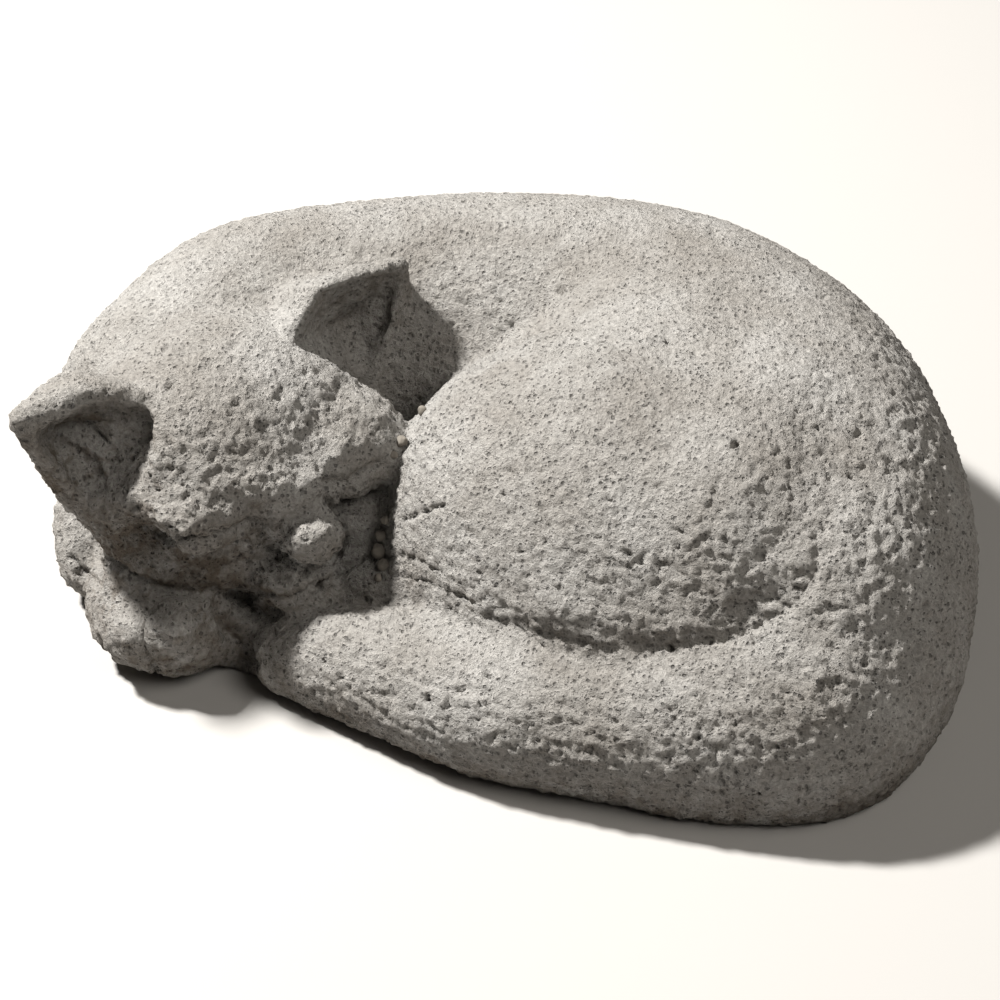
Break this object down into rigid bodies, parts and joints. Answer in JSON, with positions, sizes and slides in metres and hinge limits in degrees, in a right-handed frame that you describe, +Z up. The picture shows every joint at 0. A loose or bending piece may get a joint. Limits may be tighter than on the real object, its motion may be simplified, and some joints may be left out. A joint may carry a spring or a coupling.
{
  "type": "cat garden statue",
  "caption": "Cast stone figure of a cat curled up asleep, its head on its forepaws and its tail along the front, standing on a flat underside.",
  "frame": {"origin": "middle of the figure's bounding box, on its flat underside", "axes": "+X from the head towards the rump, along the longest side; -Y the front, where the tail lies; +Z up, along the shortest side"},
  "size_m": [0.364, 0.2674, 0.1197],
  "materials": {
    "cast_stone": "weathered, porous cast stone, matt"
  },
  "bodies": {
    "root": {"cat": "cast_stone"}
  },
  "joints": []
}
